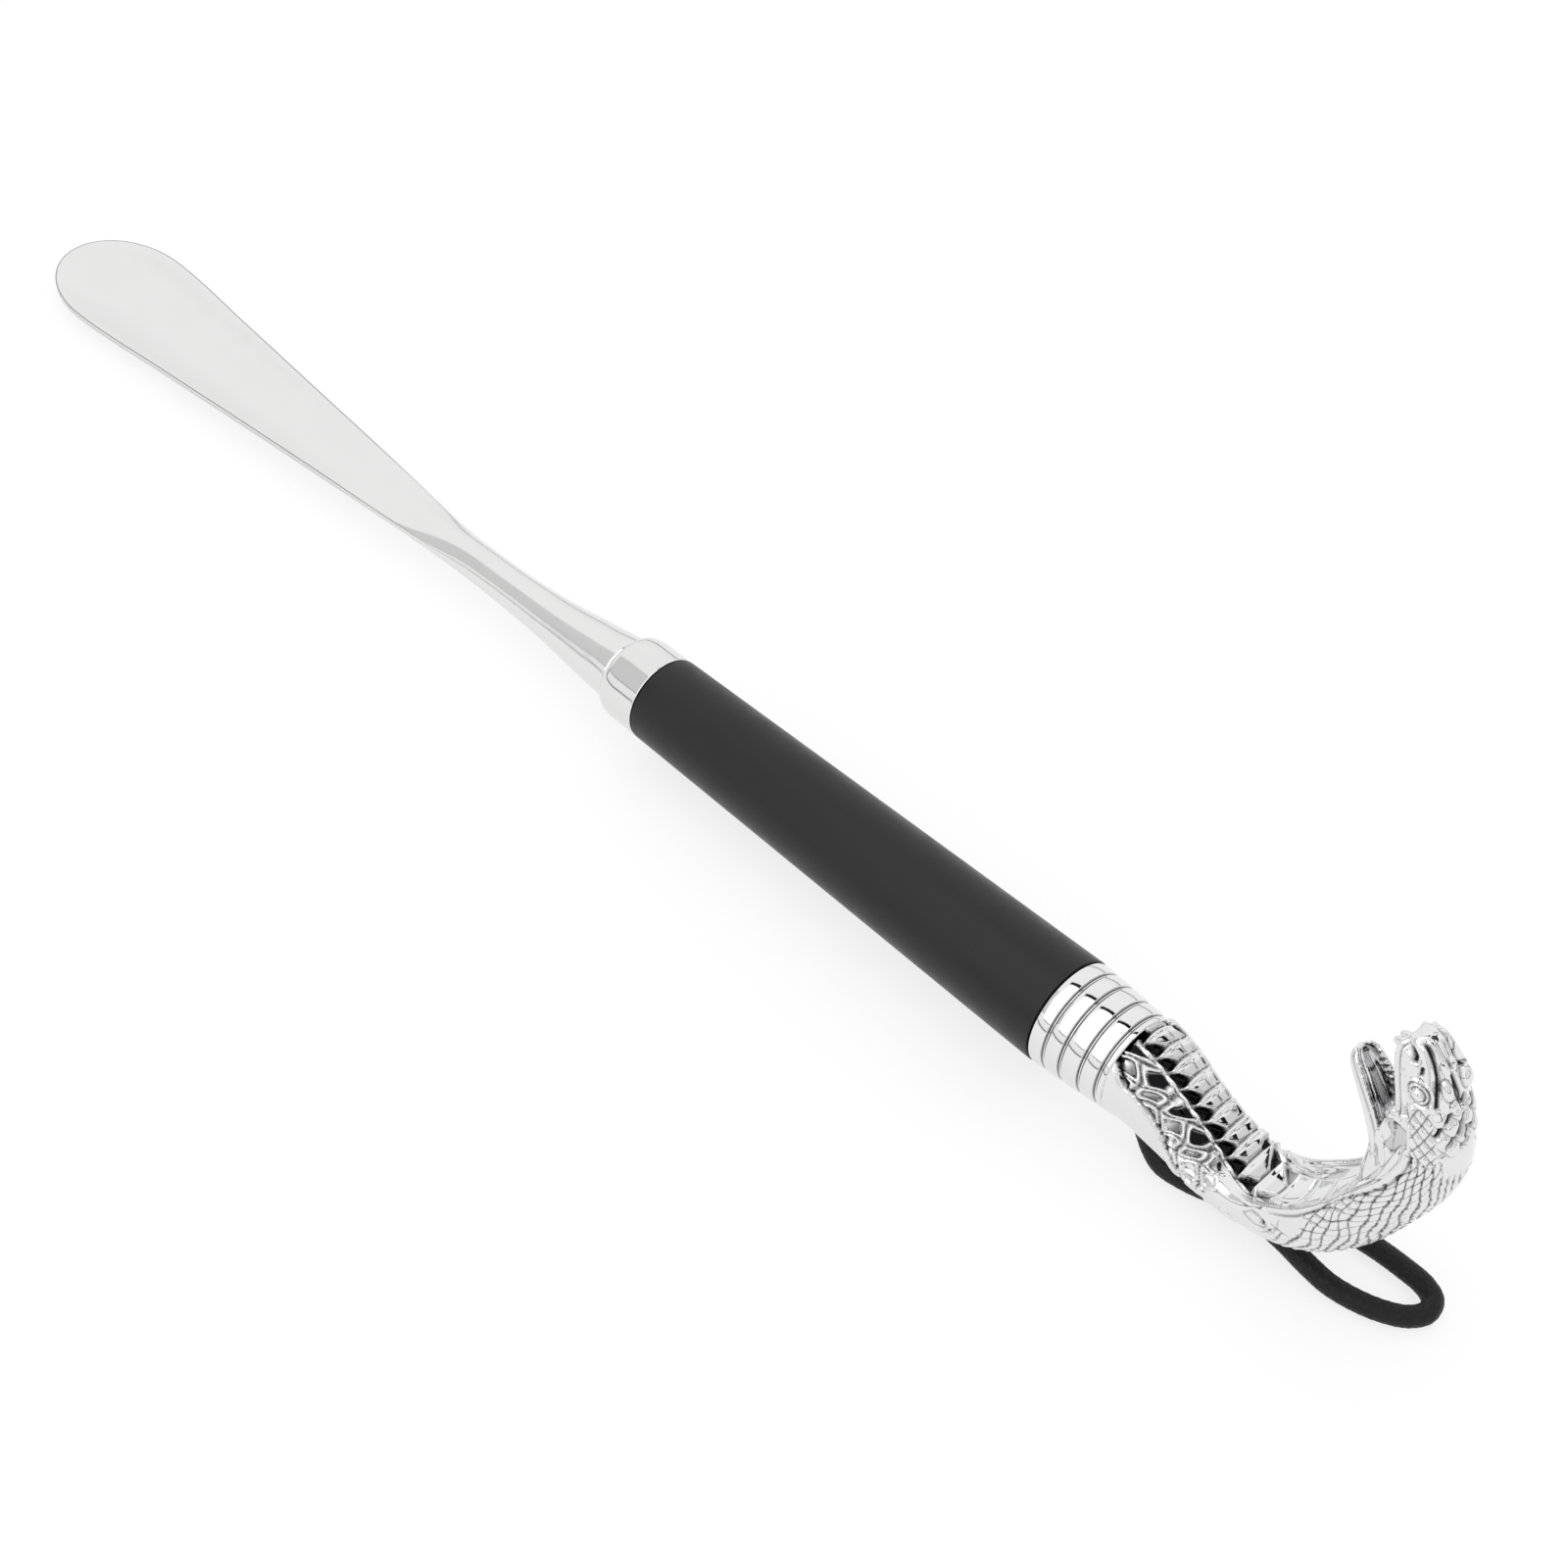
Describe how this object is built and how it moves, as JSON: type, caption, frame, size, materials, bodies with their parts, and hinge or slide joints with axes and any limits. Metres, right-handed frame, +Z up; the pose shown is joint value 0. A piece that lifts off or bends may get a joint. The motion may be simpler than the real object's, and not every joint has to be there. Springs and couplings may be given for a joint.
{
  "type": "long shoehorn",
  "caption": "Long metal shoehorn with a dished rounded blade, a tapered black grip and a cast open-mouthed cobra head with a cord loop.",
  "frame": {"origin": "on the surface that the shoehorn lies on, under the middle of the length of its rigid pieces", "axes": "+X along the shoehorn towards the cobra head, +Z up, +Y across it"},
  "size_m": [0.4845, 0.0342, 0.0935],
  "materials": {
    "satin_nickel": "satin",
    "polished_nickel": "polished",
    "chrome": "mirror",
    "stud_steel": "zinc plated",
    "black_lacquer": "black satin lacquer",
    "black_braid": "satin braid"
  },
  "bodies": {
    "root": {"blade": "satin_nickel", "front_ferrule": "polished_nickel", "front_stud": "stud_steel", "grip": "black_lacquer", "rear_stud": "stud_steel", "ring_collar": "chrome", "cobra_head": "chrome", "hanging_cord": "black_braid"}
  },
  "joints": []
}
